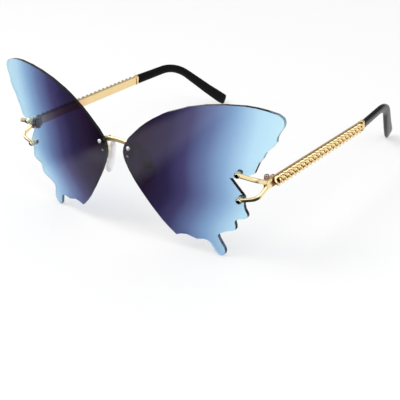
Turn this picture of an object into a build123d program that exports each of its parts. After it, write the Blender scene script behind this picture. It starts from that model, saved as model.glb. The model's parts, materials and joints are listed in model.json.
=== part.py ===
"""Rimless butterfly sunglasses with forked endpieces, curb-chain temples and black ear tips.

The frame is X towards the wearer's left, Y towards the back and Z up. The glasses stand open on the
tails of their lenses and on their temple tips. The origin is on that ground, under the middle.
"""

import os
from math import atan2, cos, degrees, hypot, pi, radians, sin, sqrt

from build123d import *

# Lenses, in millimetres like every size here
lens_width = 72.2
lens_height = 68.2
nose_gap = 9.6
lens_thickness = 1.5
lens_curve_radius = 252.0
lens_front_y = 0.5
lens_blank_depth = 24.0

# Rims and bends are short straight facets that stay this close to the true curve
facet_tolerance = 0.145

# Outline of the left lens as shares of its width from the nose and of its height from the ground.
# Each row is one smooth stretch, and the rows meet in corners.
brow_and_wing_shares = [
    (0.312, 0.095), (0.219, 0.196), (0.129, 0.324), (0.055, 0.441), (0.014, 0.529), (0.0, 0.601),
    (0.017, 0.655), (0.091, 0.746), (0.186, 0.827), (0.343, 0.918), (0.524, 0.975), (0.690, 0.997),
    (0.821, 0.996), (0.931, 0.975), (0.990, 0.943), (0.998, 0.914), (0.973, 0.859), (0.960, 0.808),
]
first_scallop_shares = [(0.960, 0.808), (0.941, 0.780), (0.903, 0.739)]
second_scallop_shares = [(0.903, 0.739), (0.893, 0.714), (0.867, 0.677)]
third_scallop_shares = [(0.867, 0.677), (0.852, 0.641), (0.839, 0.607)]
notch_roof_shares = [(0.839, 0.607), (0.760, 0.570), (0.698, 0.562)]
notch_floor_shares = [(0.698, 0.562), (0.775, 0.449)]
cheek_shares = [(0.775, 0.449), (0.774, 0.424), (0.769, 0.391), (0.773, 0.361), (0.784, 0.336)]
first_lobe_shares = [
    (0.784, 0.336), (0.783, 0.315), (0.771, 0.302), (0.735, 0.293), (0.711, 0.281), (0.705, 0.267),
]
second_lobe_shares = [
    (0.705, 0.267), (0.708, 0.246), (0.708, 0.226), (0.694, 0.205), (0.663, 0.198), (0.630, 0.183),
    (0.604, 0.167), (0.591, 0.152),
]
tail_shares = [
    (0.591, 0.152), (0.596, 0.126), (0.615, 0.078), (0.622, 0.045), (0.612, 0.014), (0.590, 0.0),
    (0.569, 0.010), (0.557, 0.034), (0.544, 0.066), (0.532, 0.091), (0.510, 0.104), (0.479, 0.103),
    (0.450, 0.095),
]
hem_shares = [(0.450, 0.095), (0.424, 0.101), (0.393, 0.114), (0.359, 0.113), (0.312, 0.095)]
wing_rows_shares = [
    brow_and_wing_shares, first_scallop_shares, second_scallop_shares, third_scallop_shares,
    notch_roof_shares, notch_floor_shares, cheek_shares, first_lobe_shares, second_lobe_shares,
    tail_shares, hem_shares,
]

# Lens screws, their bushes and nuts: small round pieces and their bores are prisms of this many sides
round_sides = 8
screw_radius = 0.6
screw_head_radius = 0.95
screw_head_height = 0.6
bush_wall = 0.25
bush_flange_radius = 1.4
bush_flange_thickness = 0.3
washer_radius = 1.35
washer_thickness = 0.2
fit_clearance = 0.05
seat_gap = 0.02
nut_radius = 1.2
nut_height = 1.5
screw_tail = 0.2

# Bridge
bridge_screw_inset = 3.3
bridge_screw_up_share = 0.635
bridge_pin_shift = 1.0
bridge_pin_drop = 3.8
bridge_pin_radius = 0.55
bridge_plate_width = 2.8
bridge_plate_thickness = 1.2
bridge_bar_height = 2.1
bridge_bar_overlap = 0.9
bridge_bar_lift = 0.7
bridge_bar_rise = 0.8
bridge_bevel = 0.35

# Forked endpieces
fork_screw_across_share = 0.7507
fork_screws_up_shares = (0.594, 0.43)
fork_eye_radius = 1.35
fork_eye_thickness = 1.4
fork_corner_back = 0.65
fork_upper_corner_drop = 1.3
fork_lower_corner_rise = 1.8
fork_bend_radius = 3.5
prong_height = 1.9
prong_thickness = 1.0
prong_bevel = 0.3
endpiece_length = 3.6

# Hinges and temples: the hinge axis leans back by the temples' droop
hinge_out = 6.1
hinge_back = 9.65
hinge_drop = 0.6
temple_droop_deg = 2.8
knuckle_radius = 1.2
knuckle_height = 1.5
knuckle_gap = 0.05
hinge_leaf_thickness = 0.8
hinge_leaf_length = 1.7
hinge_leaf_start = 1.5
hinge_pin_radius = 0.5
hinge_pin_head_radius = 0.95
hinge_pin_head_height = 0.5
band_offset = 1.4
band_thickness = 1.2
band_height = 4.3
band_length = 72.0
band_bevel = 0.3
butt_gap = 0.2

# Curb chain on the outer face of each temple
link_pitch = 3.0
link_wire = 1.1
link_height = 4.2
link_twist = 0.6
link_play = 0.05
link_flat = 0.3
link_sides = 6
link_sections = 9
chain_start = 0.8

# Collar and black tip behind the chain
collar_length = 1.6
collar_height = 5.0
collar_thickness = 2.6
collar_lip = 0.3
collar_bevel = 0.6
core_height = 1.6
core_thickness = 1.0
tip_bend_along = 102.3
tip_bend_in = 2.9
tip_bend_down = -0.6
tip_end_along = 130.0
tip_end_in = 14.9
tip_end_rise = 1.53
tip_bend_radius = 24.0
tip_core_stop = 6.0
tip_heights = [4.7, 4.4, 4.3, 4.3, 4.5, 5.2, 5.6, 4.4]
tip_thicknesses = [2.5, 2.5, 2.5, 2.5, 2.5, 2.4, 2.2, 1.4]
tip_places_share = [0.0, 0.26, 0.35, 0.44, 0.53, 0.8, 0.95, 1.0]
tip_bevel_share = 0.3

# Nose pads
pad_inset = 5.1
pad_standoff = 5.3
pad_drop = 9.3
pad_splay_deg = 25.0
pad_lean_deg = 13.0
pad_length = 14.5
pad_top_radius = 3.0
pad_bottom_radius = 3.9
pad_thickness = 2.2
pad_bevel = 0.7
pad_hang = 1.5
insert_length = 5.0
insert_width = 3.0
insert_depth = 0.8
tab_length = 2.2
tab_thickness = 1.2
tab_reach = 2.6
pad_pin_radius = 0.4
pad_pin_head_height = 0.4
box_wall = 0.5
box_length = 3.0
box_side_gap = 0.3
box_base_gap = 0.5
pad_arm_radius = 0.5
pad_arm_sides = 8
pad_arm_bend_radius = 2.0
pad_arm_reach = 3.3
pad_arm_turn_inset = 1.1
pad_foot_inset = 2.4
pad_foot_lift = 0.9
pad_foot_radius = 0.9
pad_foot_height = 0.6


def facet_ends(curve, start, end):
    """Points after start, up to end, whose chords stay within the tolerance of the curve."""
    middle = (start + end) / 2
    bulge = (curve @ middle - (curve @ start + curve @ end) / 2).length
    quarter = (curve @ ((start + middle) / 2) - (curve @ start + curve @ middle) / 2).length
    if max(bulge, quarter) < facet_tolerance:
        return [curve @ end]
    return facet_ends(curve, start, middle) + facet_ends(curve, middle, end)


def facetted(curve):
    """The curve as a row of straight edges, edge by edge."""
    edges = curve.edges()
    return Polyline(edges[0] @ 0, *[point for edge in edges for point in facet_ends(edge, 0, 1)])


def swept(section, path):
    """Bar with mitred bends, its section swept along the facets of a path."""
    return sweep(section, path=facetted(path), transition=Transition.RIGHT)


def centred_box(x0, x1, y0, y1, z0, z1):
    """Box between two corners."""
    return Pos((x0 + x1) / 2, (y0 + y1) / 2, (z0 + z1) / 2) * Box(x1 - x0, y1 - y0, z1 - z0)


def bevelled_bar(x0, x1, y0, y1, z0, z1, bevel):
    """Bar along Y with its long edges bevelled."""
    bar = centred_box(x0, x1, y0, y1, z0, z1)
    return chamfer(bar.edges().filter_by(Axis.Y), bevel)


def bar_section(thickness, height, bevel):
    """Rectangle with bevelled corners, the section of the bent bars."""
    return chamfer(Rectangle(thickness, height).vertices(), bevel)


def round_slot(length, radius, far_radius=0.0):
    """Slot between two small round ends, length apart along local Y, the upper one of far_radius."""
    near = Pos(0, -length / 2) * RegularPolygon(radius, round_sides)
    far = Pos(0, length / 2) * RegularPolygon(far_radius or radius, round_sides)
    return make_hull([*near.edges(), *far.edges()])


def round_bar(radius, height):
    """Small round bar that stands on the local origin."""
    return extrude(RegularPolygon(radius, round_sides), amount=height)


def pin(radius, length):
    """Round pin that stands on the local origin."""
    return Pos(0, 0, length / 2) * Cylinder(radius, length)


def bore(radius, length):
    """Small round bore through the local origin, long enough to clear its piece both ways."""
    return extrude(RegularPolygon(radius, round_sides), amount=length, both=True)


def pin_bore(radius, length):
    """Bore for a round pin, its flats at that radius."""
    flats = RegularPolygon(radius, round_sides, major_radius=False)
    return extrude(flats, amount=length, both=True)


curve_centre = Vector(0, lens_front_y + lens_curve_radius, lens_height / 2)


def on_lens(x, z, depth=0.0):
    """Plane on a lens at (x, z), depth below its front face, its normal pointing forward."""
    drop = z - curve_centre.Z
    front_y = curve_centre.Y - sqrt(lens_curve_radius**2 - x**2 - drop**2)
    outward = (Vector(x, front_y, z) - curve_centre).normalized()
    return Plane(Vector(x, front_y, z) - outward * depth, x_dir=(0, 0, 1), z_dir=outward)


bush_radius = screw_radius + fit_clearance + bush_wall
lens_hole_radius = bush_radius + fit_clearance
pin_hole_radius = bridge_pin_radius + fit_clearance
bridge_screw_x = nose_gap / 2 + bridge_screw_inset
bridge_screw_z = lens_height * bridge_screw_up_share
bridge_pin_x = bridge_screw_x - bridge_pin_shift
bridge_pin_z = bridge_screw_z - bridge_pin_drop
fork_screw_x = nose_gap / 2 + lens_width * fork_screw_across_share
fork_upper_screw_z, fork_lower_screw_z = (lens_height * share for share in fork_screws_up_shares)
bridge_screw_place = (bridge_screw_x, bridge_screw_z)
bridge_pin_place = (bridge_pin_x, bridge_pin_z)
fork_places = ((fork_screw_x, fork_upper_screw_z), (fork_screw_x, fork_lower_screw_z))

# Depths below a lens's front face at which the pieces on its screws meet
flange_seat = -seat_gap
eye_back = flange_seat - bush_flange_thickness - seat_gap
eye_front = eye_back - fork_eye_thickness
fork_head_seat = eye_front - seat_gap
rear_seat = lens_thickness + seat_gap
fork_nut_seat = rear_seat + washer_thickness + seat_gap
plate_front = rear_seat + bush_flange_thickness + seat_gap
plate_rear = plate_front + bridge_plate_thickness
bridge_nut_seat = plate_rear + seat_gap


def outline_edges(shares):
    """One stretch of the lens's outline: a line, or facets along an arc or a spline."""
    points = [(nose_gap / 2 + lens_width * across, lens_height * up) for across, up in shares]
    if len(points) == 2:
        return Line(*points).edges()
    return facetted(ThreePointArc(*points) if len(points) == 3 else Spline(*points)).edges()


def lens():
    """Wing cut from a spherical shell, with its screw and pin holes."""
    edges = [edge for shares in wing_rows_shares for edge in outline_edges(shares)]
    outline = Plane.XZ * make_face(Wire(edges))
    middle = Pos(*curve_centre)
    wing = extrude(outline, amount=-lens_blank_depth) & middle * Sphere(lens_curve_radius)
    wing -= middle * Sphere(lens_curve_radius - lens_thickness)
    for place in (bridge_screw_place, *fork_places):
        wing -= on_lens(*place).location * bore(lens_hole_radius, 2 * lens_thickness)
    return wing - on_lens(*bridge_pin_place).location * bore(pin_hole_radius, 2 * lens_thickness)


def lens_screw(shank_length):
    """Screw with its head's seat at the local origin and its shank pointing down."""
    head = round_bar(screw_head_radius, screw_head_height)
    return head + round_bar(screw_radius, -shank_length)


def bush():
    """Top-hat bush for a lens hole, its flange on the local origin and its tube pointing down."""
    body = round_bar(bush_flange_radius, bush_flange_thickness)
    body += round_bar(bush_radius, seat_gap - lens_thickness)
    return body - bore(screw_radius + fit_clearance, 2 * lens_thickness)


def washer():
    """Flat washer that hangs down from the local origin."""
    disc = round_bar(washer_radius, -washer_thickness)
    return disc - bore(screw_radius + fit_clearance, 2 * washer_thickness)


def nut():
    """Hexagon nut, its seat at the local origin and its body pointing down."""
    hexagon = extrude(RegularPolygon(nut_radius, 6), amount=-nut_height)
    return hexagon - bore(screw_radius + seat_gap, 2 * nut_height)


def on_forks(depth, piece):
    """The piece at both fork screws of the left lens, that deep below its front face."""
    return Compound(children=[on_lens(*place, depth).location * piece for place in fork_places])


bar_end = on_lens(
    bridge_screw_x - bridge_bar_overlap, bridge_screw_z + bridge_bar_lift, (plate_front + plate_rear) / 2
).origin


def bridge():
    """Arched bar with an eye plate behind each lens and a pin in the lens's second hole."""
    middle_place = ((bridge_screw_x + bridge_pin_x) / 2, (bridge_screw_z + bridge_pin_z) / 2)
    slant = 90 - degrees(atan2(bridge_pin_shift, bridge_pin_drop))
    reach = hypot(bridge_pin_shift, bridge_pin_drop)
    plate_sketch = Rot(0, 0, slant) * round_slot(reach, bridge_plate_width / 2)
    plate = on_lens(*middle_place, plate_rear).location * extrude(
        plate_sketch, amount=bridge_plate_thickness
    )
    plate += on_lens(*bridge_pin_place, plate_rear).location * round_bar(bridge_pin_radius, plate_rear)
    plate -= on_lens(*bridge_screw_place).location * bore(screw_radius + fit_clearance, 2 * plate_rear)
    path = ThreePointArc(
        (-bar_end.X, bar_end.Y, bar_end.Z), (0, bar_end.Y, bar_end.Z + bridge_bar_rise), bar_end
    )
    section = bar_section(bridge_plate_thickness, bridge_bar_height, bridge_bevel)
    bar = swept(Plane(path @ 0, x_dir=(0, 1, 0), z_dir=path % 0) * section, path)
    return bar + plate + mirror(plate, about=Plane.YZ)


hinge_x = fork_screw_x + hinge_out
fork_corner_y = on_lens(fork_screw_x, fork_upper_screw_z).origin.Y + fork_corner_back
hinge_y = fork_corner_y + hinge_back
hinge_z = (fork_upper_screw_z + fork_lower_screw_z) / 2 - hinge_drop
droop = radians(temple_droop_deg)
hinge_frame = Plane(
    (hinge_x, hinge_y, hinge_z),
    x_dir=(1, 0, 0),
    z_dir=(0, sin(droop), cos(droop)),
)
band_outer = band_offset + band_thickness
band_middle = band_offset + band_thickness / 2


def fork():
    """Two prongs that run from eyes on the lens round to a block in front of the hinge."""
    body = hinge_frame.location * bevelled_bar(
        band_offset, band_outer, -butt_gap / 2 - endpiece_length, -butt_gap / 2,
        -band_height / 2, band_height / 2, band_bevel,
    )
    sides = (
        (1, fork_upper_screw_z - fork_upper_corner_drop),
        (-1, fork_lower_screw_z + fork_lower_corner_rise),
    )
    for place, (side, corner_z) in zip(fork_places, sides):
        eye = on_lens(*place, (eye_back + eye_front) / 2)
        corner = Vector(hinge_x + band_middle, fork_corner_y, corner_z)
        root_y = prong_bevel - butt_gap / 2 - endpiece_length
        root = hinge_frame.from_local_coords(
            Vector(band_middle, root_y, side * (band_height - prong_height) / 2)
        )
        path = FilletPolyline(eye.origin, corner, root, radius=fork_bend_radius)
        across = (corner - eye.origin).cross(root - corner)
        section = bar_section(prong_height, prong_thickness, prong_bevel)
        body += swept(Plane(path @ 0, x_dir=across, z_dir=path % 0) * section, path)
        body += on_lens(*place, eye_back).location * round_bar(fork_eye_radius, fork_eye_thickness)
        body -= eye.location * bore(screw_radius + fit_clearance, 2 * fork_eye_thickness)
    return body


knuckle_half = knuckle_height / 2
knuckle_inner = knuckle_half + knuckle_gap
knuckle_outer = knuckle_inner + knuckle_height
band_half = band_height / 2


def hinge_half(side, knuckles):
    """Leaf on one side of the axis, -1 in front or 1 behind, with its knuckles on necks."""
    near, far = side * hinge_leaf_start, side * (hinge_leaf_start + hinge_leaf_length)
    leaf_inner = band_offset - hinge_leaf_thickness
    body = centred_box(leaf_inner, band_offset, min(near, far), max(near, far), -band_half, band_half)
    for low, high in knuckles:
        body += Pos(0, 0, low) * round_bar(knuckle_radius, high - low)
        neck_low, neck_high = max(low, -band_half), min(high, band_half)
        body += centred_box(leaf_inner, knuckle_radius, min(0, near), max(0, near), neck_low, neck_high)
    return body


def hinge_front():
    """Leaf and two outer knuckles, brazed to the endpiece."""
    body = hinge_half(-1, ((knuckle_inner, knuckle_outer), (-knuckle_outer, -knuckle_inner)))
    return body - pin_bore(hinge_pin_radius + seat_gap, 2 * knuckle_outer)


def hinge_rear():
    """Leaf and middle knuckle, brazed to the temple."""
    body = hinge_half(1, ((-knuckle_half, knuckle_half),))
    return body - pin_bore(hinge_pin_radius + fit_clearance, 2 * knuckle_outer)


def hinge_screw():
    """Screw down the hinge's axis, its head on the upper knuckle."""
    head_seat = knuckle_outer + seat_gap
    head = Pos(0, 0, head_seat) * round_bar(hinge_pin_head_radius, hinge_pin_head_height)
    return head + Pos(0, 0, -knuckle_outer) * pin(hinge_pin_radius, knuckle_outer + head_seat)


collar_inner = band_offset - collar_lip
collar_middle = collar_inner + collar_thickness / 2
collar_start = butt_gap / 2 + band_length
collar_end = collar_start + collar_length
tip_end_down = (hinge_z - tip_end_rise - tip_end_along * sin(droop)) / cos(droop)
tip_points = [
    Vector(collar_middle, collar_end, 0),
    Vector(collar_middle - tip_bend_in, tip_bend_along, -tip_bend_down),
    Vector(collar_middle - tip_end_in, tip_end_along, -tip_end_down),
]
tip_path = FilletPolyline(*tip_points, radius=tip_bend_radius)
tip_across = (tip_points[1] - tip_points[0]).cross(tip_points[2] - tip_points[1]).normalized()


def core(extra=0.0):
    """Core wire inside the tip, or with extra room its bore."""
    section = Rectangle(core_thickness + 2 * extra, core_height + 2 * extra)
    return swept(Plane(tip_path @ 0, x_dir=tip_across, z_dir=tip_path % 0) * section, tip_path)


def core_end(distance):
    """Block that cuts the core or its bore off, that far before the end of the tip."""
    end = Plane(tip_points[2], x_dir=tip_across, z_dir=tip_path % 1)
    return end.offset(-distance).location * round_bar(collar_height, 2 * distance)


def temple_bar():
    """Flat band from the hinge to the collar, with the bent core wire of the tip."""
    half_neck = core_thickness / 2
    band = bevelled_bar(
        band_offset, band_outer, butt_gap / 2, collar_start, -band_half, band_half, band_bevel
    )
    neck = centred_box(
        collar_middle - half_neck, collar_middle + half_neck, collar_start, collar_end,
        -core_height / 2, core_height / 2,
    )
    return band + neck + (core() - core_end(tip_core_stop + fit_clearance))


def collar():
    """Collar that closes the end of the chain and seats the black tip."""
    half_hole = core_thickness / 2 + fit_clearance
    hole_height = core_height / 2 + fit_clearance
    body = bevelled_bar(
        collar_inner, collar_inner + collar_thickness, collar_start + seat_gap, collar_end,
        -collar_height / 2, collar_height / 2, collar_bevel,
    )
    return body - centred_box(
        collar_middle - half_hole, collar_middle + half_hole, collar_start - collar_length,
        collar_end + collar_length, -hole_height, hole_height,
    )


def tip():
    """Black cover lofted along the bent wire, from the collar to its flattened end."""
    faces = []
    for place, height, thickness in zip(tip_places_share, tip_heights, tip_thicknesses):
        plane = Plane(tip_path @ place, x_dir=tip_across, z_dir=tip_path % place)
        faces.append(plane * bar_section(thickness, height, tip_bevel_share * thickness))
    mouth = centred_box(
        collar_inner - collar_height, collar_inner + collar_height, collar_start, collar_end + seat_gap,
        -collar_height, collar_height,
    )
    return loft(faces, ruled=True) - (core(fit_clearance) - core_end(tip_core_stop)) - mouth


# A curb link's centreline is an ellipse whose ends twist through the neighbouring links
link_half_length = (link_pitch + link_wire + link_play) / 2
link_half_height = (link_height - link_wire) / 2
link_half_pressed = link_twist + link_wire / 2 - link_flat
chain_middle = band_outer + seat_gap + link_half_pressed


def link_point(turn):
    """Point on a link's centreline, turn going from 0 to two pi."""
    return Vector(
        link_twist * sin(2 * turn), link_half_length * cos(turn), link_half_height * sin(turn)
    )


def link_corners(turn):
    """Corners of the wire's section at that turn, pressed flat towards the band and outside."""
    along = Vector(
        2 * link_twist * cos(2 * turn), -link_half_length * sin(turn), link_half_height * cos(turn)
    )
    outward = Vector(0, link_half_height * cos(turn), link_half_length * sin(turn))
    plane = Plane(link_point(turn), x_dir=outward, z_dir=along)
    angles = [2 * pi * (side + 0.5) / link_sides for side in range(link_sides)]
    corners = [Vector(cos(angle), sin(angle), 0) * (link_wire / 2) for angle in angles]
    placed = [plane.from_local_coords(corner) for corner in corners]
    return [Vector(max(-link_half_pressed, min(link_half_pressed, c.X)), c.Y, c.Z) for c in placed]


def next_of(items, number):
    """Item after that number, round a closed row."""
    return items[(number + 1) % len(items)]


def curb_link():
    """One twisted link of flat facets."""
    rings = [link_corners(2 * pi * number / link_sections) for number in range(link_sections)]
    facets = []
    for number, ring in enumerate(rings):
        other = next_of(rings, number)
        for side, corner in enumerate(ring):
            far = next_of(other, side)
            facets.append(Face(Wire.make_polygon([corner, next_of(ring, side), far])))
            facets.append(Face(Wire.make_polygon([corner, far, other[side]])))
    return Solid(Shell(facets))


def temple_chain():
    """Row of links from the hinge to the collar."""
    first = chain_start + link_half_length + link_wire / 2
    last = collar_start - link_half_length - link_wire / 2
    count = int((last - first) / link_pitch) + 1
    spare = (last - first) - (count - 1) * link_pitch
    link = Pos(chain_middle, first + spare / 2, 0) * curb_link()
    return Compound(children=[Pos(0, number * link_pitch, 0) * link for number in range(count)])


def least_link_gap(samples=240):
    """Least distance between the surfaces of two neighbouring links."""
    points = [link_point(2 * pi * number / samples) for number in range(samples)]
    step = Vector(0, link_pitch, 0)
    return min((a - b - step).length for a in points for b in points) - link_wire


def pad_frame():
    """Plane in the middle of the left pad: X across it to the front, Y up it, Z to the nose."""
    splay, lean = radians(pad_splay_deg), radians(pad_lean_deg)
    across = Vector(-sin(splay), -cos(splay), 0)
    towards_nose = Vector(-cos(splay) * cos(lean), sin(splay) * cos(lean), -sin(lean))
    middle = (nose_gap / 2 + pad_inset, bar_end.Y + pad_standoff, bridge_screw_z - pad_drop)
    return Plane(middle, x_dir=across, z_dir=towards_nose)


pad_plane = pad_frame()
pad_back = -pad_thickness / 2
pin_depth = pad_back - tab_reach + tab_length / 2
box_back = pad_back - tab_reach - box_base_gap - box_wall
box_half = tab_thickness / 2 + box_side_gap + box_wall


def insert_plate(extra=0.0):
    """Plate of the insert, or with extra room the pocket that holds it."""
    outline = round_slot(insert_length - insert_width, insert_width / 2 + extra)
    return Pos(0, 0, pad_back) * extrude(outline, amount=insert_depth + extra)


def nose_pad():
    """Soft drop-shaped pad, with a pocket in its back for the insert."""
    drop = round_slot(pad_length - pad_top_radius - pad_bottom_radius, pad_bottom_radius, pad_top_radius)
    lift = (pad_bottom_radius - pad_top_radius) / 2
    body = Pos(0, lift - pad_hang) * extrude(drop, amount=pad_thickness / 2, both=True)
    rims = body.faces().filter_by(Axis.Z).edges()
    return chamfer(rims, pad_bevel) - insert_plate(fit_clearance)


def pad_insert():
    """Plate in the pad's back with a drilled tab that hangs on the pad screw."""
    tab = centred_box(
        -tab_thickness / 2, tab_thickness / 2, -tab_length / 2, tab_length / 2,
        pad_back - tab_reach, pad_back + insert_depth / 2,
    )
    hole = pin_bore(pad_pin_radius + fit_clearance, tab_length)
    return insert_plate() + tab - Pos(0, 0, pin_depth) * Rot(0, 90, 0) * hole


def pad_screw():
    """Cross screw through the box and the tab, its head on the box's front side."""
    body = Pos(0, 0, -box_half) * pin(pad_pin_radius, 2 * box_half + seat_gap)
    body += Pos(0, 0, box_half + seat_gap) * round_bar(2 * pad_pin_radius, pad_pin_head_height)
    return Pos(0, 0, pin_depth) * Rot(0, 90, 0) * body


def pad_arm():
    """Bent wire from the end of the bridge bar to an open box that takes the pad's tab."""
    front = pin_depth + box_length / 2 - box_wall
    outer = centred_box(-box_half, box_half, -box_length / 2, box_length / 2, box_back, front)
    inner = centred_box(
        box_wall - box_half, box_half - box_wall, -box_length, box_length,
        box_back + box_wall, front + box_length,
    )
    hole = Pos(0, 0, pin_depth) * Rot(0, 90, 0) * pin_bore(pad_pin_radius + seat_gap, 2 * box_half)
    box = pad_plane.location * (outer - inner - hole)
    foot_seat = Vector(
        bridge_screw_x - pad_foot_inset,
        bar_end.Y + bridge_plate_thickness / 2 + seat_gap,
        bridge_screw_z + pad_foot_lift,
    )
    foot = Plane(foot_seat, x_dir=(1, 0, 0), z_dir=(0, 1, 0)).location
    start = foot_seat + Vector(0, pad_foot_height / 2, 0)
    box_top = pad_plane.from_local_coords(
        Vector(0, box_length / 2 - pad_arm_radius, box_back + box_wall / 2)
    )
    turn = Vector(bridge_screw_x - pad_arm_turn_inset, bar_end.Y + pad_arm_reach, foot_seat.Z)
    path = FilletPolyline(start, turn, box_top, radius=pad_arm_bend_radius)
    section = RegularPolygon(pad_arm_radius, pad_arm_sides)
    wire = swept(Plane(path @ 0, z_dir=path % 0) * section, path)
    return box + wire + foot * round_bar(pad_foot_radius, pad_foot_height)


tip_end_place = hinge_frame.from_local_coords(tip_points[2])
middle_y = tip_end_place.Y / 2


def save(name, shape):
    """Write one sub-part, moved so that the origin is under the middle of the glasses."""
    export_step(Pos(0, -middle_y, 0) * shape, f"parts/{name}.step")


def mirrored(shape):
    """The same solids for the wearer's right side."""
    solids = [mirror(solid, about=Plane.YZ) for solid in shape.solids()]
    return solids[0] if len(solids) == 1 else Compound(children=solids)


def save_sides(name, shape):
    """Write the wearer's left piece and its mirrored right one."""
    save(f"left_{name}", shape)
    save(f"right_{name}", mirrored(shape))


def save_group(name, shape):
    """Write a left piece and its mirrored twin as one group."""
    save(name, Compound(children=[*shape.solids(), *mirrored(shape).solids()]))


os.makedirs("parts", exist_ok=True)

save("bridge", bridge())
at_bridge = on_lens(*bridge_screw_place)
screw_length = bridge_nut_seat + seat_gap + nut_height - screw_tail
save_group("bridge_screws", at_bridge.offset(seat_gap).location * lens_screw(screw_length))
save_group("bridge_bushes", at_bridge.offset(-rear_seat).location * Rot(180, 0, 0) * bush())
save_group("bridge_nuts", at_bridge.offset(-bridge_nut_seat).location * nut())

save_sides("lens", lens())
save_sides("fork", fork())
screw_length = fork_nut_seat - fork_head_seat + nut_height - screw_tail
save_sides("fork_screws", on_forks(fork_head_seat, lens_screw(screw_length)))
save_sides("fork_bushes", on_forks(flange_seat, bush()))
save_sides("fork_washers", on_forks(rear_seat, washer()))
save_sides("fork_nuts", on_forks(fork_nut_seat, nut()))

on_hinge = hinge_frame.location
save_sides("hinge_front", on_hinge * hinge_front())
save_sides("hinge_rear", on_hinge * hinge_rear())
save_sides("hinge_screw", on_hinge * hinge_screw())
save_sides("temple_bar", on_hinge * temple_bar())
save_sides("temple_chain", on_hinge * temple_chain())
save_sides("temple_collar", on_hinge * collar())
save_sides("temple_tip", on_hinge * tip())

on_pad = pad_plane.location
save_sides("nose_pad", on_pad * nose_pad())
save_sides("pad_insert", on_pad * pad_insert())
save_sides("pad_screw", on_pad * pad_screw())
save_sides("pad_arm", pad_arm())

print("least gap between two links", round(least_link_gap(), 3))
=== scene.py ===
"""Looks for the rimless butterfly sunglasses: tinted lenses, gold metalwork, curb chains, black tips."""

import json
from collections import namedtuple
from math import atan2, ceil, copysign, cos, hypot, pi, radians, sin, sqrt, tan

import bmesh
import bpy
from bpy.props import FloatProperty, FloatVectorProperty, PointerProperty
from mathutils import Matrix, Vector

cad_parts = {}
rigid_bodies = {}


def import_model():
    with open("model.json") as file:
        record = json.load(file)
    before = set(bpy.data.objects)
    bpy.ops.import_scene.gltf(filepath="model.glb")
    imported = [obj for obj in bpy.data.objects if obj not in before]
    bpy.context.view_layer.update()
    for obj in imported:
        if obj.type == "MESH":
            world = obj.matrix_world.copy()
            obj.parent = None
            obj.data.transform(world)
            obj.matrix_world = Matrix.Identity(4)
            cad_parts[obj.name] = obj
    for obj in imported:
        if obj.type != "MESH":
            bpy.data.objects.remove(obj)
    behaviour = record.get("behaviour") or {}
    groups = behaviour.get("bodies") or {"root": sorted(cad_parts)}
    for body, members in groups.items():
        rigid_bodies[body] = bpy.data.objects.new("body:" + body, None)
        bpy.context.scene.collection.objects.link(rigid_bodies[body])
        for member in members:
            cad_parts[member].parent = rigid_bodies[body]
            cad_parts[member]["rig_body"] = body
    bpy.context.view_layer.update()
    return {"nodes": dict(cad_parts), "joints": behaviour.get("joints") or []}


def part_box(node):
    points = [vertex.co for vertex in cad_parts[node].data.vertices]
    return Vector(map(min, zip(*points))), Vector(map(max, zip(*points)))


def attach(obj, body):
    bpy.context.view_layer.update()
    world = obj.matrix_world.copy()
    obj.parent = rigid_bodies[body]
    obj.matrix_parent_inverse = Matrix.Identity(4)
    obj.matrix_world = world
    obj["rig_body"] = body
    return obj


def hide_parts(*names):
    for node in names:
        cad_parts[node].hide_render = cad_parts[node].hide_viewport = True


bl_info = {
    "name": "Butterfly Sunglasses",
    "version": (1, 0, 0),
    "blender": (4, 5, 0),
    "location": "3D View > Sidebar > Sunglasses",
    "description": "Finishes the pieces of a pair of rimless butterfly sunglasses",
    "category": "Object",
}

MM = 0.001
SIDES = ("left", "right")
MERGE = 0.002 * MM
LENS_CURVE = 252.0 * MM
WHITE = (1.0, 1.0, 1.0)

# Faces that meet at less than these angles are shaded as one, on flat and on round pieces
FLAT_DEG = 30.0
ROUND_DEG = 50.0

# Steps of a full turn in round pieces
TURN_STEPS = 28

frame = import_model()
nodes = frame["nodes"]


def mm(*sizes):
    """Sizes in metres, given in millimetres."""
    return [size * MM for size in sizes]


def lens_ball():
    """Centre of the ball that the front faces of both lenses lie on."""
    low, high = (Vector(corner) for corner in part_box("left_lens"))
    return Vector((0, low.y + sqrt(LENS_CURVE**2 - low.x**2), (low.z + high.z) / 2))


def outward_at(place):
    """Direction square to the lenses at a place."""
    return (place - lens_ball()).normalized()


def joint_named(name):
    """Place and axis of a joint."""
    joint = next(item for item in frame["joints"] if item["name"] == name)
    return Vector(joint["pos_m"]), Vector(joint["axis"]).normalized()


def framed(place, across, back, up):
    """Matrix of a frame at a place, from its three axes."""
    return Matrix.Translation(place) @ Matrix((across, back, up)).transposed().to_4x4()


def temple_frame():
    """Frame on the left hinge: X outwards, Y back along the temple, Z up the hinge's axis."""
    place, up = joint_named("left_temple_fold")
    across = Vector((1, 0, 0))
    return framed(place, across, up.cross(across), up)


def pad_frame(sizes):
    """Frame in the middle of the left pad: X across it to the front, Y up it, Z to the nose."""
    pin, across = joint_named("left_pad_rock")
    level = Vector((across.y, -across.x, 0))
    nose = level * cos(sizes.lean) - Vector((0, 0, sin(sizes.lean)))
    return framed(pin + nose * sizes.pin_depth, across, nose.cross(across), nose)


# Sizes and colours a user would change


def length(name, description, value):
    """A size in metres, given in millimetres."""
    return FloatProperty(
        name=name, description=description, default=value * MM, unit="LENGTH", precision=5, min=0.0
    )


def share(name, description, value):
    """A share from 0 to 1."""
    return FloatProperty(
        name=name, description=description, default=value, subtype="FACTOR", min=0.0, max=1.0
    )


def colour(name, description, value):
    """A colour of a finish, in linear light."""
    return FloatVectorProperty(
        name=name, description=description, default=value, subtype="COLOR", size=3, min=0.0, max=1.0
    )


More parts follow.
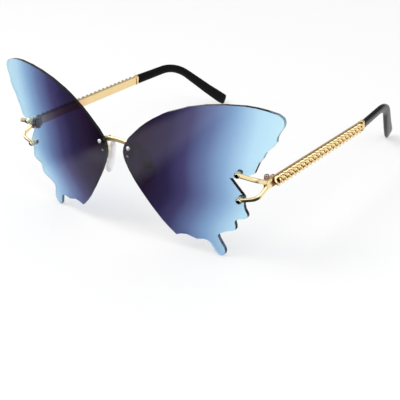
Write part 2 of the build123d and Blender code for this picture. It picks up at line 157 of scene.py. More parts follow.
def angle(name, description, value_deg):
    """An angle, given in degrees."""
    return FloatProperty(
        name=name, description=description, default=radians(value_deg), subtype="ANGLE"
    )


def refraction(name, value):
    """A refractive index."""
    return FloatProperty(
        name=name, description="Refractive index", default=value, min=1.0, max=2.0
    )


class LensLooks(bpy.types.PropertyGroup):
    """The tint that fades from the nose to the wing tips."""

    plum: colour("Plum", "Tint at the nose", (0.0076, 0.0029, 0.0126))
    aubergine: colour("Aubergine", "Tint beside the nose pads", (0.0191, 0.0099, 0.0322))
    violet: colour("Violet", "Tint a quarter of the way out", (0.0263, 0.0201, 0.0685))
    slate: colour("Slate", "Tint before the middle", (0.0609, 0.0554, 0.1600))
    denim: colour("Denim", "Tint in the middle", (0.1410, 0.1970, 0.3920))
    steel_blue: colour("Steel blue", "Tint past the middle", (0.2630, 0.4320, 0.6860))
    sky: colour("Sky", "Tint near the wing tip", (0.5150, 0.7800, 0.9700))
    ice: colour("Ice", "Tint at the wing tip", (0.6200, 0.9200, 1.0000))
    # Painted shade: the edge faces take this dark navy in place of how dark the thick tinted glass looks
    # edge-on
    edge: colour("Edge", "Colour of the polished edges", (0.0060, 0.0090, 0.0360))
    edge_shade_share: share("Edge share", "How much of the edge colour shows", 0.85)
    tint_start: length("Tint start", "Distance from the middle where the tint is full", 6.0)
    tint_width: length("Tint width", "Width over which the tint fades", 70.0)
    tail_top: share("Tail top", "Share of the lens's height below which the tails turn paler", 0.45)
    tail_bottom: share("Tail bottom", "Share of the lens's height where they are palest", 0.12)
    tail_shift: length("Tail shift", "How much paler the tails are, as a distance outwards", 11.0)
    brow_bottom: share("Brow bottom", "Share of the lens's height where the brows start", 0.55)
    brow_shift: length("Brow shift", "How much darker the brows are, as a distance inwards", 6.0)
    index: refraction("Index", 1.45)


class GoldLooks(bpy.types.PropertyGroup):
    """Gold plating, the bridge's pins and the plates in the nose pads."""

    face: colour("Gold", "Colour of the plating", (0.95, 0.73, 0.38))
    # Painted shade: this dark brown on the band's outer face behind the links stands for the shade that
    # the links cast
    painted_link_shade: colour("Link shade", "Colour of the band behind the links", (0.22, 0.10, 0.035))
    pale: colour("Pale gold", "Colour of the bridge and the forks", (1.0, 0.82, 0.46))
    # Painted reflection: this rosy colour on the band's inner face beside the hinge stands for the dark
    # lens that the face mirrors
    rosy: colour("Rosy gold", "Colour of the band's inner face beside the hinge", (0.86, 0.56, 0.34))
    hinge: colour("Hinge", "Brown colour of the hinges", (0.52, 0.29, 0.18))
    pin: colour("Pin", "Steel colour of the bridge's pins", (0.52, 0.46, 0.62))
    insert: colour("Insert", "Colour of the plates in the nose pads", (0.96, 0.92, 0.88))
    roughness: share("Roughness", "Roughness of the plating", 0.14)
    fork_roughness: share("Fork roughness", "Roughness of the forks", 0.224)
    hinge_roughness: share("Hinge roughness", "Roughness of the hinges", 0.28)
    bridge_roughness: share("Bridge roughness", "Roughness of the bridge", 0.35)
    insert_roughness: share("Insert roughness", "Roughness of the plates in the pads", 0.45)
    edge_round: length("Edge round", "Rounding of the metal's edges", 0.12)
    band_round: length("Band round", "Rounding of the bands' edges", 0.30)


class LinkSizes(bpy.types.PropertyGroup):
    """Twisted links of the curb chains."""

    wire: length("Wire", "Thickness of a link's wire", 1.2)
    height: length("Height", "Height of a link", 4.5)
    twist: length("Twist", "How far the ends of a link lean out of its plane", 0.7)
    pressed: length("Pressed", "Half the thickness that the links are pressed to", 0.85)
    play: length("Play", "Room between a link and the next", 0.10)


class FastenerSizes(bpy.types.PropertyGroup):
    """Lens screws, bushes and cap nuts."""

    shank: length("Shank", "Radius of the lens screws", 0.6)
    bore: length("Bore", "Radius of the bores of bushes and washers", 0.65)
    tube: length("Tube", "Radius of the tube of a bush", 0.9)
    slot_width: length("Slot width", "Width of the screwdriver slots", 0.28)
    slot_depth: length("Slot depth", "Depth of the screwdriver slots", 0.3)
    pin_shift: length("Pin shift", "How far the bridge's pin stands inwards of its screw", 1.0)
    pin_drop: length("Pin drop", "How far the bridge's pin stands below its screw", 3.8)
    pin_radius: length("Pin radius", "Radius of the steel spot on that pin", 1.4)
    # Radius of the painted shade in the middles of the fork screws' heads
    socket_shade_radius: length("Socket radius", "Radius of the dark middles of the fork screws", 0.85)


class FastenerLooks(bpy.types.PropertyGroup):
    """Steel and nylon of the fasteners."""

    bright: colour("Bright", "Colour of the bridge's and the pads' screws", (1.0, 1.0, 1.0))
    worn: colour("Worn", "Colour of the hinge screws", (0.50, 0.36, 0.29))
    dark: colour("Dark", "Colour of the forks' nuts", (0.035, 0.033, 0.04))
    head: colour("Head", "Colour of the forks' screws", (0.95, 0.90, 0.80))
    # Painted shade: this near-black in the middles of the fork screws' heads stands for the shade in a
    # recess
    socket: colour("Socket", "Colour of the middles of their heads", (0.010, 0.008, 0.008))
    nylon: colour("Nylon", "Tint of the bushes and washers", (0.90, 0.92, 0.95))
    bright_roughness: share("Bright roughness", "Roughness of the bright steel", 0.5)
    worn_roughness: share("Worn roughness", "Roughness of the worn steel", 0.35)
    dark_roughness: share("Dark roughness", "Roughness of the dark steel", 0.25)
    head_roughness: share("Head roughness", "Roughness of the forks' screws", 0.35)
    nylon_roughness: share("Nylon roughness", "Roughness of the nylon", 0.05)
    nylon_index: refraction("Nylon index", 1.45)


class PadSizes(bpy.types.PropertyGroup):
    """Sizes and looks of the soft clear nose pads."""

    lean: angle("Lean", "How far the pads lean out from upright", 13.0)
    pin_depth: length("Pin depth", "Distance from the pad's middle to the pin it rocks on", 2.6)
    run: length("Run", "Distance between the centres of the pad's round ends", 7.6)
    top: length("Top", "Radius of the upper end", 3.0)
    bottom: length("Bottom", "Radius of the lower end", 3.9)
    hang: length("Hang", "How far the pad hangs below its pin", 1.05)
    thickness: length("Thickness", "Thickness of the pad", 2.2)
    rim: length("Rim", "Rounding of the pad's rim", 1.1)
    silicone: colour("Silicone", "Tint of the pads", (0.93, 0.92, 0.93))
    roughness: share("Roughness", "Roughness of the pads", 0.25)
    clearness: share("Clearness", "How much of the light goes through the pads", 0.8)
    index: refraction("Index", 1.3)


class TipLooks(bpy.types.PropertyGroup):
    """Black polished ear tips."""

    black: colour("Black", "Colour of the tips", (0.004, 0.004, 0.005))
    roughness: share("Roughness", "Roughness of the tips", 0.2)
    gloss: share("Gloss", "Strength of the tips' reflections", 0.1)
    start_along: length("Start", "Distance from the hinge to the tip's mouth", 73.7)
    start_out: length("Start out", "Distance of the mouth's middle from the hinge line", 2.4)
    bend_along: length("Bend", "Distance from the hinge to the bend", 102.3)
    bend_in: length("Bend in", "How far the bend stands inwards of the mouth", 2.9)
    bend_rise: length("Bend rise", "How far the bend stands above the mouth", 0.6)
    end_along: length("End", "Distance from the hinge to the end", 130.0)
    end_in: length("End in", "How far the end stands inwards of the mouth", 14.9)
    end_rise: length("End rise", "Height of the end's middle above the ground", 1.53)
    bend_radius: length("Bend radius", "Radius of the bend", 24.0)


class StageLooks(bpy.types.PropertyGroup):
    """Floor, light and camera."""

    floor_white: colour("Floor", "Colour of the floor", (0.80, 0.80, 0.80))
    shadow_lift: share("Shadow lift", "How far the floor's own white hides the shadows", 0.48)
    floor_glow: share("Floor glow", "Brightness of that white", 0.93)
    mirror_strip: share("White strip", "Brightness of the white strip's end beside the glasses", 0.55)
    mirror_dark: share("Dark cards", "Brightness of the dark cards that gloss reflects", 0.04)
    mirror_dim: share("Dim card", "Brightness of the dim card that gloss reflects", 0.40)
    mirror_cast: colour("Strip cast", "Colour cast of the strip", (0.88, 0.84, 1.0))
    camera_azimuth: angle("Camera azimuth", "Turn of the camera round the glasses", 39.70)
    camera_elevation: angle("Camera elevation", "Camera's angle above the floor", 27.51)
    camera_roll: angle("Camera roll", "Camera's tilt to one side", -4.99)
    camera_distance: length("Camera distance", "Distance from the camera to its aim", 403.5)
    camera_aim: FloatVectorProperty(
        name="Camera aim", description="Point that the camera looks at",
        default=(22.83 * MM, -46.78 * MM, 11.07 * MM), subtype="XYZ", unit="LENGTH",
    )
    focal_length: FloatProperty(
        name="Focal length", description="Lens of the camera in millimetres", default=82.46,
    )


LOOKS = {
    "sunglasses_lenses": LensLooks,
    "sunglasses_gold": GoldLooks,
    "sunglasses_links": LinkSizes,
    "sunglasses_fasteners": FastenerSizes,
    "sunglasses_steel": FastenerLooks,
    "sunglasses_pads": PadSizes,
    "sunglasses_tips": TipLooks,
    "sunglasses_stage": StageLooks,
}


# Material helpers


class Shading:
    """A new node tree with short ways to add and link its nodes."""

    def __init__(self, tree):
        self.tree = tree
        self.tree.nodes.clear()

    def link(self, source, target):
        """Links two sockets."""
        self.tree.links.new(source, target)

    def fill(self, socket, value):
        """Links a socket to the one given, or sets its value."""
        if isinstance(value, bpy.types.NodeSocket):
            self.link(value, socket)
        elif socket.type == "RGBA" and len(value) == 3:
            socket.default_value = rgba(value)
        else:
            socket.default_value = value

    def add(self, kind, inputs=None, **settings):
        """Adds a node, sets its attributes, and fills the inputs given by name or number."""
        node = self.tree.nodes.new(kind)
        for name, value in settings.items():
            setattr(node, name, value)
        for name, value in (inputs or {}).items():
            self.fill(node.inputs[name], value)
        return node

    def math(self, operation, *values):
        """The result of a Math node on one or two values."""
        node = self.add("ShaderNodeMath", dict(enumerate(values)), operation=operation)
        return node.outputs["Value"]

    def joined(self, operation, result, *values):
        """The result of one Math operation on all the values in turn."""
        for value in values:
            result = self.math(operation, result, value)
        return result

    def vector(self, operation, *values):
        """A Vector Math node."""
        return self.add("ShaderNodeVectorMath", dict(enumerate(values)), operation=operation)

    def axes(self, place):
        """The X, Y and Z of a place."""
        parts = self.add("ShaderNodeSeparateXYZ", {"Vector": place})
        return [parts.outputs[axis] for axis in "XYZ"]

    def blend(self, factor, first, second):
        """Mixes two colours, which go into inputs 6 and 7 of a Mix node."""
        node = self.add("ShaderNodeMix", {"Factor": factor, 6: first, 7: second}, data_type="RGBA")
        return node.outputs[2]

    def layer(self, factor, first, second):
        """Mixes two shaders."""
        node = self.add("ShaderNodeMixShader", {"Fac": factor, 1: first, 2: second})
        return node.outputs["Shader"]

    def span(self, value, start, end, low=0.0, high=1.0):
        """Maps a value from start..end to low..high with soft ends."""
        inputs = {"Value": value, "From Min": start, "From Max": end, "To Min": low, "To Max": high}
        node = self.add("ShaderNodeMapRange", inputs, interpolation_type="SMOOTHSTEP")
        return node.outputs["Result"]

    def place(self):
        """Object coordinates."""
        return self.add("ShaderNodeTexCoord").outputs["Object"]


def rgba(colour_value):
    """A colour with full alpha."""
    return (*colour_value, 1.0)


def new_material(name):
    """An empty material and its shading."""
    material = bpy.data.materials.new(name)
    material.use_nodes = True
    return material, Shading(material.node_tree)


def finish_surface(shading, shader):
    """Ends a material's tree with its surface."""
    output = shading.add("ShaderNodeOutputMaterial")
    shading.link(shader, output.inputs["Surface"])


def group_tree(name, inputs, outputs):
    """A shader node group with its sockets, and its shading, input and output nodes."""
    tree = bpy.data.node_groups.new(name, "ShaderNodeTree")
    for label, kind, value in inputs:
        socket = tree.interface.new_socket(label, in_out="INPUT", socket_type=kind)
        socket.default_value = value
    for label, kind in outputs:
        tree.interface.new_socket(label, in_out="OUTPUT", socket_type=kind)
    shading = Shading(tree)
    return tree, shading, shading.add("NodeGroupInput"), shading.add("NodeGroupOutput")


# Scale of the fine grain in the handling marks, and its depth at full strength
GRAIN_SCALE = 4000.0
GRAIN_DEPTH = 0.05 * MM


def handling_marks():
    """Faint smears and hairlines that change the roughness and the surface of metal and plastic."""
    if "Handling marks" in bpy.data.node_groups:
        return bpy.data.node_groups["Handling marks"]
    tree, shading, given, made = group_tree(
        "Handling marks",
        [
            ("Roughness", "NodeSocketFloat", 0.15),
            ("Smear", "NodeSocketFloat", 0.1),
            ("Smear scale", "NodeSocketFloat", 300.0),
            ("Grain height", "NodeSocketFloat", 0.02),
        ],
        [("Roughness", "NodeSocketFloat"), ("Normal", "NodeSocketVector")],
    )
    place = shading.place()
    smear = shading.add(
        "ShaderNodeTexNoise",
        {"Vector": place, "Scale": given.outputs["Smear scale"], "Detail": 3.0},
    )
    rise = shading.math("MULTIPLY", smear.outputs["Fac"], given.outputs["Smear"])
    shading.link(
        shading.math("ADD", given.outputs["Roughness"], rise), made.inputs["Roughness"]
    )
    grain = shading.add(
        "ShaderNodeTexNoise", {"Vector": place, "Scale": GRAIN_SCALE, "Detail": 2.0}
    )
    bump = shading.add(
        "ShaderNodeBump",
        {
            "Height": grain.outputs["Fac"],
            "Strength": given.outputs["Grain height"],
            "Distance": GRAIN_DEPTH,
        },
    )
    shading.link(bump.outputs["Normal"], made.inputs["Normal"])
    return tree


def add_marks(shading, roughness, smear=0.1, smear_scale=300.0):
    """The roughness and normal that the handling marks give a material."""
    marks = shading.add(
        "ShaderNodeGroup",
        {"Roughness": roughness, "Smear": smear, "Smear scale": smear_scale},
        node_tree=handling_marks(),
    )
    return marks.outputs["Roughness"], marks.outputs["Normal"]


def uneven(shading, base, darkest, scale):
    """A colour with faint clouds, where it goes down to a share of itself."""
    cloud = shading.add(
        "ShaderNodeTexNoise", {"Vector": shading.place(), "Scale": scale, "Detail": 2.0}
    )
    return shading.blend(cloud.outputs["Fac"], base, [darkest * part for part in base])


def metal(name, base, roughness, patches=()):
    """A polished metal with handling marks and patches, each a mask and another colour."""
    material, shading = new_material(name)
    marked, normal = add_marks(shading, roughness)
    tone = uneven(shading, base, darkest=0.88, scale=120.0)
    for mask, other in patches:
        tone = shading.blend(mask(shading), tone, other)
    surface = shading.add(
        "ShaderNodeBsdfPrincipled",
        {"Base Color": tone, "Metallic": 1.0, "Roughness": marked, "Normal": normal},
    )
    finish_surface(shading, surface.outputs["BSDF"])
    return material


def spots(shading, places, radius):
    """Mask of round spots at places on the left side and at their mirror twins."""
    blur = 0.07 * radius
    across, back, up = shading.axes(shading.place())
    folded = shading.add(
        "ShaderNodeCombineXYZ", {"X": shading.math("ABSOLUTE", across), "Y": back, "Z": up}
    )
    mask = 0.0
    for place in places:
        far = shading.vector("DISTANCE", folded.outputs["Vector"], place).outputs["Value"]
        spot = shading.span(far, radius - blur, radius + blur, 1.0, 0.0)
        mask = shading.math("MAXIMUM", mask, spot)
    return mask


def black_plastic(looks):
    """A glossy black moulded plastic with handling marks."""
    material, shading = new_material("black tip")
    marked, normal = add_marks(shading, looks.roughness, smear=0.08, smear_scale=150.0)
    surface = shading.add(
        "ShaderNodeBsdfPrincipled",
        {
            "Base Color": uneven(shading, looks.black, darkest=0.6, scale=200.0),
            "Roughness": marked,
            "Normal": normal,
            "Specular IOR Level": looks.gloss,
        },
    )
    finish_surface(shading, surface.outputs["BSDF"])
    return material


def see_through(shading, tone, roughness, index, clearness=1.0):
    """Ends a tree with glass or clear plastic that lets lamp light through with its own tint."""
    glass = shading.add(
        "ShaderNodeBsdfPrincipled",
        {"Base Color": tone, "Roughness": roughness, "Transmission Weight": clearness, "IOR": index},
    )
    open_side = shading.add("ShaderNodeBsdfTransparent", {"Color": tone})
    path = shading.add("ShaderNodeLightPath")
    finish_surface(
        shading,
        shading.layer(path.outputs["Is Shadow Ray"], glass.outputs["BSDF"], open_side.outputs["BSDF"]),
    )


def clear(name, tint, roughness, index, clearness=1.0):
    """A clear plastic that lets lamp light through."""
    material, shading = new_material(name)
    marked = add_marks(shading, roughness)[0]
    see_through(shading, uneven(shading, tint, darkest=0.96, scale=250.0), marked, index, clearness)
    return material


# Cosines of a face's turn from the lens's front, up to which it is all edge and from which it isn't
EDGE_COSINES = (0.35, 0.75)

# Where each tint stands, as a share of the way over which the tint fades
TINT_SHARES = {
    "plum": 0.03, "aubergine": 0.14, "violet": 0.29, "slate": 0.41,
    "denim": 0.54, "steel_blue": 0.66, "sky": 0.80, "ice": 0.99,
}


def lens_edge(shading):
    """Mask of a lens's edge faces, which stand square to its front."""
    spread = shading.vector("SUBTRACT", shading.place(), lens_ball())
    square = shading.vector("NORMALIZE", spread.outputs["Vector"])
    surface = shading.add("ShaderNodeNewGeometry")
    facing = shading.vector(
        "DOT_PRODUCT", square.outputs["Vector"], surface.outputs["True Normal"]
    )
    turned_away = shading.math("ABSOLUTE", facing.outputs["Value"])
    return shading.span(turned_away, *EDGE_COSINES, 1.0, 0.0)


def lens_tint(looks):
    """Tinted lens: the tint fades with the distance from the nose, paler in the tails."""
    material, shading = new_material("tinted lens")
    parts = shading.axes(shading.place())
    out, height = shading.math("ABSOLUTE", parts[0]), parts[2]
    low, high = (corner[2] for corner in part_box("left_lens"))
    tail_top, tail_bottom, brow_bottom = (
        low + part * (high - low) for part in (looks.tail_top, looks.tail_bottom, looks.brow_bottom)
    )
    tail = shading.span(height, tail_top, tail_bottom, 0.0, looks.tail_shift)
    brow = shading.span(height, brow_bottom, high, 0.0, looks.brow_shift)
    along = shading.add(
        "ShaderNodeMapRange",
        {
            "Value": shading.math("SUBTRACT", shading.math("ADD", out, tail), brow),
            "From Min": looks.tint_start,
            "From Max": looks.tint_start + looks.tint_width,
        },
    )
    ramp = shading.add("ShaderNodeValToRGB", {"Fac": along.outputs["Result"]})
    elements = ramp.color_ramp.elements
    while len(elements) < len(TINT_SHARES):
        elements.new(0.5)
    for element, (tint, place) in zip(elements, TINT_SHARES.items()):
        element.position = place
        element.color = rgba(getattr(looks, tint))
    # The edge faces get the painted shade of the edge colour
    edge = shading.math("MULTIPLY", lens_edge(shading), looks.edge_shade_share)
    see_through(shading, shading.blend(edge, ramp.outputs["Color"], looks.edge), 0.0, looks.index)
    return material


# Mesh helpers


def merged_mesh(node):
    """A CAD node's mesh with its loose triangles merged, ready to shape."""
    mesh = bmesh.new()
    mesh.from_mesh(nodes[node].data)
    bmesh.ops.remove_doubles(mesh, verts=mesh.verts, dist=MERGE)
    bmesh.ops.dissolve_degenerate(mesh, edges=mesh.edges, dist=MERGE / 2)
    return mesh


def solids_of(node):
    """Corner points of each separate solid of a CAD node."""
    mesh = merged_mesh(node)
    left, solids = set(mesh.verts), []
    while left:
        waiting = [left.pop()]
        solid = []
        while waiting:
            corner = waiting.pop()
            solid.append(corner.co.copy())
            near = {edge.other_vert(corner) for edge in corner.link_edges} & left
            left -= near
            waiting.extend(near)
        solids.append(solid)
    mesh.free()
    return solids


def new_piece(name, mesh, material, smooth_deg):
    """A finished object from a bmesh, shaded smooth up to an edge angle."""
    data = bpy.data.meshes.new(name)
    mesh.to_mesh(data)
    mesh.free()
    data.shade_smooth()
    data.set_sharp_from_angle(angle=radians(smooth_deg))
    data.materials.append(material)
    piece = bpy.data.objects.new(name, data)
    bpy.context.scene.collection.objects.link(piece)
    return piece


def stands_for(piece, node, slot):
    """The piece rides with a CAD node's body and hides the node; the slot is not used."""
    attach(piece, nodes[node]["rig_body"])
    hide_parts(node)
    return piece


def dress(node, name, material, slot, smooth_deg=FLAT_DEG, edge_round=0.0):
    """A smoothly shaded copy of a CAD node, its edges rounded if a size is given."""
    level_deg, all_smooth_deg = 1.0, 180.0
    mesh = merged_mesh(node)
    if edge_round:
        bmesh.ops.dissolve_limit(
            mesh, angle_limit=radians(level_deg), verts=mesh.verts, edges=mesh.edges
        )
    piece = new_piece(name, mesh, material, all_smooth_deg if edge_round else smooth_deg)
    if edge_round:
        soft = piece.modifiers.new("rounded edges", "BEVEL")
        soft.width = edge_round
        soft.segments = 2
        soft.limit_method = "ANGLE"
        soft.angle_limit = radians(smooth_deg)
        soft.harden_normals = True
    return stands_for(piece, node, slot)


def turned(profile, steps):
    """A solid of revolution about Z, from a closed profile or one that starts and ends on the axis."""
    mesh = bmesh.new()
    corners = [mesh.verts.new((radius, 0, height)) for radius, height in profile]
    rows = list(zip(corners, corners[1:]))
    if profile[0][0] > 0:
        rows.append((corners[-1], corners[0]))
    edges = [mesh.edges.new(row) for row in rows]
    bmesh.ops.spin(
        mesh, geom=corners + edges, cent=(0, 0, 0), axis=(0, 0, 1), angle=2 * pi, steps=steps,
        use_merge=True,
    )
    bmesh.ops.remove_doubles(mesh, verts=mesh.verts, dist=MERGE)
    bmesh.ops.recalc_face_normals(mesh, faces=mesh.faces)
    return mesh


def add_shape(target, shape, place):
    """Adds a copy of a shape to a piece's mesh at its place."""
    data = bpy.data.meshes.new("shape")
    shape.to_mesh(data)
    data.transform(place)
    target.from_mesh(data)
    bpy.data.meshes.remove(data)


def add_turned(target, place, profile, steps=TURN_STEPS):
    """Adds a solid of revolution to a piece's mesh, its axis along Z of the place."""
    shape = turned(profile, steps)
    add_shape(target, shape, place)
    shape.free()


def add_mirror(target, shape):
    """Adds the mirror twin of a shape, for the wearer's other side."""
    twin = shape.copy()
    bmesh.ops.scale(twin, vec=(-1, 1, 1), verts=twin.verts)
    bmesh.ops.reverse_faces(twin, faces=twin.faces)
    add_shape(target, twin, Matrix.Identity(4))
    twin.free()


def both_sides(shape, node, name, material, slot, smooth_deg=ROUND_DEG):
    """The left piece and its mirror twin, each in place of its CAD node."""
    for side in SIDES:
        mesh = bmesh.new()
        if side == "left":
            add_shape(mesh, shape, Matrix.Identity(4))
        else:
            add_mirror(mesh, shape)
        stands_for(new_piece(f"{side}_{name}", mesh, material, smooth_deg), f"{side}_{node}", slot)
    shape.free()


def loft(rings):
    """A closed skin through rings of points, each ring extruded from the one before."""
    mesh = bmesh.new()
    ring = [mesh.verts.new(point) for point in rings[0]]
    edges = [mesh.edges.new(pair) for pair in zip(ring, ring[1:] + ring[:1])]
    mesh.faces.new(ring)
    for points in rings[1:]:
        made = bmesh.ops.extrude_edge_only(mesh, edges=edges)["geom"]
        fresh = {item for item in made if isinstance(item, bmesh.types.BMVert)}
        ring = [
            next(edge.other_vert(corner) for edge in corner.link_edges if edge.other_vert(corner) in fresh)
            for corner in ring
        ]
        edges = [
            item for item in made if isinstance(item, bmesh.types.BMEdge) and set(item.verts) <= fresh
        ]
        for corner, point in zip(ring, points):
            corner.co = point
    mesh.faces.new(ring)
    bmesh.ops.recalc_face_normals(mesh, faces=mesh.faces)
    return mesh


def bent_line(start, corner, end, radius, step):
    """Points and directions along two runs joined by an arc, about a step apart."""
    into, out = (corner - start).normalized(), (end - corner).normalized()
    turn = into.angle(out)
    trim = radius * tan(turn / 2)
    first, last = corner - into * trim, corner + out * trim
    inward = (out - into * into.dot(out)).normalized()
    middle = first + inward * radius
    places = []
    count = ceil((first - start).length / step)
    for number in range(count):
        places.append((start.lerp(first, number / count), into))
    count = ceil(radius * turn / step)
    for number in range(count):
        bend = turn * number / count
        ahead, aside = cos(bend), sin(bend)
        places.append((middle + (into * aside - inward * ahead) * radius, into * ahead + inward * aside))
    count = ceil((end - last).length / step)
    for number in range(count + 1):
        places.append((last.lerp(end, number / count), out))
    return places


def carve(piece, tool_mesh):
    """Cuts a closed tool mesh out of a piece."""
    data = bpy.data.meshes.new("tool")
    tool_mesh.to_mesh(data)
    tool_mesh.free()
    tool = bpy.data.objects.new("tool", data)
    bpy.context.scene.collection.objects.link(tool)
    cut = piece.modifiers.new("cut", "BOOLEAN")
    cut.operation, cut.solver, cut.object = "DIFFERENCE", "EXACT", tool
    done = piece.evaluated_get(bpy.context.evaluated_depsgraph_get())
    piece.data = bpy.data.meshes.new_from_object(done)
    piece.modifiers.clear()
    bpy.data.objects.remove(tool)


# Fasteners, from where the CAD solids stand on the lenses


# A round solid's frame with Z outwards, its ends along Z, its widest part's ends, and its radius
Seat = namedtuple("Seat", "place low high near far radius")

# A solid counts as widest from this share of its largest radius
WIDE_SHARE = 0.97

# Profiles as shares of a radius and of a height, with 0 at the lowest level
HEAD_SHARES = ((1, 0), (1, 0.45), (0.95, 0.7), (0.8, 0.88), (0.45, 1), (0, 1))
HEXAGON_SHARES = ((0, 1), (1, 1), (1, 0.45), (0.86, 0.37), (0, 0.37))
DOME_SHARES = ((0, 0.45), (0.84, 0.45), (0.82, 0.3), (0.68, 0.12), (0.4, 0.02), (0, 0))


def seats(node):
    """Seats of every round solid of a node that stands square on the lenses."""
    for points in solids_of(node):
        middle = sum(points, Vector()) / len(points)
        outward = outward_at(middle)
        heights = [(point - middle).dot(outward) for point in points]
        radii = [(point - middle - outward * height).length for point, height in zip(points, heights)]
        radius = max(radii)
        wide = [height for height, reach in zip(heights, radii) if reach > WIDE_SHARE * radius]
        turn = outward.to_track_quat("Z", "Y").to_matrix().to_4x4()
        place = Matrix.Translation(middle) @ turn
        yield Seat(place, min(heights), max(heights), min(wide), max(wide), radius)


def profile_of(shares, radius, low, high):
    """A profile in real sizes, from shares of a radius and of the height from low to high."""
    return [(wide * radius, low + rise * (high - low)) for wide, rise in shares]


def add_slot_bar(target, seat, sizes, turn_deg):
    """Adds the bar that cuts a screwdriver slot into a head."""
    bar = bmesh.new()
    bmesh.ops.create_cube(bar, size=1.0)
    long = 3 * seat.radius
    bmesh.ops.scale(bar, vec=(long, sizes.slot_width, 2 * sizes.slot_depth), verts=bar.verts)
    lift = Matrix.Translation((0, 0, seat.far)) @ Matrix.Rotation(radians(turn_deg), 4, "Z")
    add_shape(target, bar, seat.place @ lift)
    bar.free()


def make_screws(node, name, material, slot, sizes, turn_deg):
    """Slotted screws with domed heads."""
    mesh, tools = bmesh.new(), bmesh.new()
    for seat in seats(node):
        shank = [(0, seat.low), (sizes.shank, seat.low), (sizes.shank, seat.near)]
        head = profile_of(HEAD_SHARES, seat.radius, seat.near, seat.far)
        add_turned(mesh, seat.place, shank + head)
        add_slot_bar(tools, seat, sizes, turn_deg)
    piece = new_piece(name, mesh, material, ROUND_DEG)
    carve(piece, tools)
    return stands_for(piece, node, slot)


def make_bushes(node, name, material, slot, sizes):
    """Bored top-hat bushes, whose flange may be at either end."""
    mesh = bmesh.new()
    for seat in seats(node):
        tail, near, far = seat.low, seat.near, seat.far
        if near <= seat.low + MERGE:
            tail, near, far = seat.high, seat.far, seat.near
        add_turned(mesh, seat.place, [
            (sizes.bore, tail), (sizes.tube, tail), (sizes.tube, near),
            (seat.radius, near), (seat.radius, far), (sizes.bore, far),
        ])
    return stands_for(new_piece(name, mesh, material, ROUND_DEG), node, slot)


def make_washers(node, name, material, slot, sizes):
    """Flat round washers."""
    mesh = bmesh.new()
    for seat in seats(node):
        add_turned(mesh, seat.place, [
            (sizes.bore, seat.low), (seat.radius, seat.low),
            (seat.radius, seat.high), (sizes.bore, seat.high),
        ])
    return stands_for(new_piece(name, mesh, material, ROUND_DEG), node, slot)


def make_cap_nuts(node, name, material, slot):
    """Cap nuts: a hexagon on the washer with a dome behind it."""
    mesh = bmesh.new()
    for seat in seats(node):
        for shares, steps in ((HEXAGON_SHARES, 6), (DOME_SHARES, TURN_STEPS)):
            profile = profile_of(shares, seat.radius, seat.low, seat.high)
            add_turned(mesh, seat.place, profile, steps)
    return stands_for(new_piece(name, mesh, material, smooth_deg=35.0), node, slot)


# Chains


def curb_link(sizes, pitch):
    """One twisted link of round wire, pressed flat on both faces."""
    wire_sides, link_steps = 12, 30
    half_long = (pitch + sizes.wire + sizes.play) / 2
    half_tall = (sizes.height - sizes.wire) / 2
    mesh = bmesh.new()
    made = bmesh.ops.create_circle(mesh, segments=wire_sides, radius=sizes.wire / 2)["verts"]
    bmesh.ops.translate(mesh, vec=(0, half_tall, 0), verts=made)
    bmesh.ops.spin(
        mesh, geom=mesh.verts[:] + mesh.edges[:], cent=(0, 0, 0), axis=(1, 0, 0), angle=2 * pi,
        steps=link_steps, use_merge=True,
    )
    for corner in mesh.verts:
        turn = atan2(corner.co.z, corner.co.y)
        out = hypot(corner.co.y, corner.co.z) - half_tall
        middle = Vector((sizes.twist * sin(2 * turn), half_long * cos(turn), half_tall * sin(turn)))
        along = Vector((
            2 * sizes.twist * cos(2 * turn), -half_long * sin(turn), half_tall * cos(turn)
        )).normalized()
        outward = Vector((0, half_tall * cos(turn), half_long * sin(turn))).normalized()
        place = middle + outward * out + outward.cross(along) * corner.co.x
        place.x = max(-sizes.pressed, min(sizes.pressed, place.x))
        corner.co = place
    bmesh.ops.recalc_face_normals(mesh, faces=mesh.faces)
    return mesh


def link_places():
    """Places of the left chain's links in a row, in the temple's frame."""
    back_to_temple = temple_frame().inverted()
    places = []
    for points in solids_of("left_temple_chain"):
        local = [back_to_temple @ point for point in points]
        middle = sum(local, Vector()) / len(local)
        middle.x = (min(point.x for point in local) + max(point.x for point in local)) / 2
        places.append(middle)
    return sorted(places, key=lambda place: place.y)


# Operators, one for each group of like pieces


class MakeLenses(bpy.types.Operator):
    """Gives both lenses their faded tint"""

    bl_idname = "sunglasses.make_lenses"
    bl_label = "Lenses"

    def execute(self, context):
        material = lens_tint(context.scene.sunglasses_lenses)
        for side in SIDES:
            dress(f"{side}_lens", f"{side}_lens_glass", material, "tinted_lens", smooth_deg=20.0)
        return {"FINISHED"}


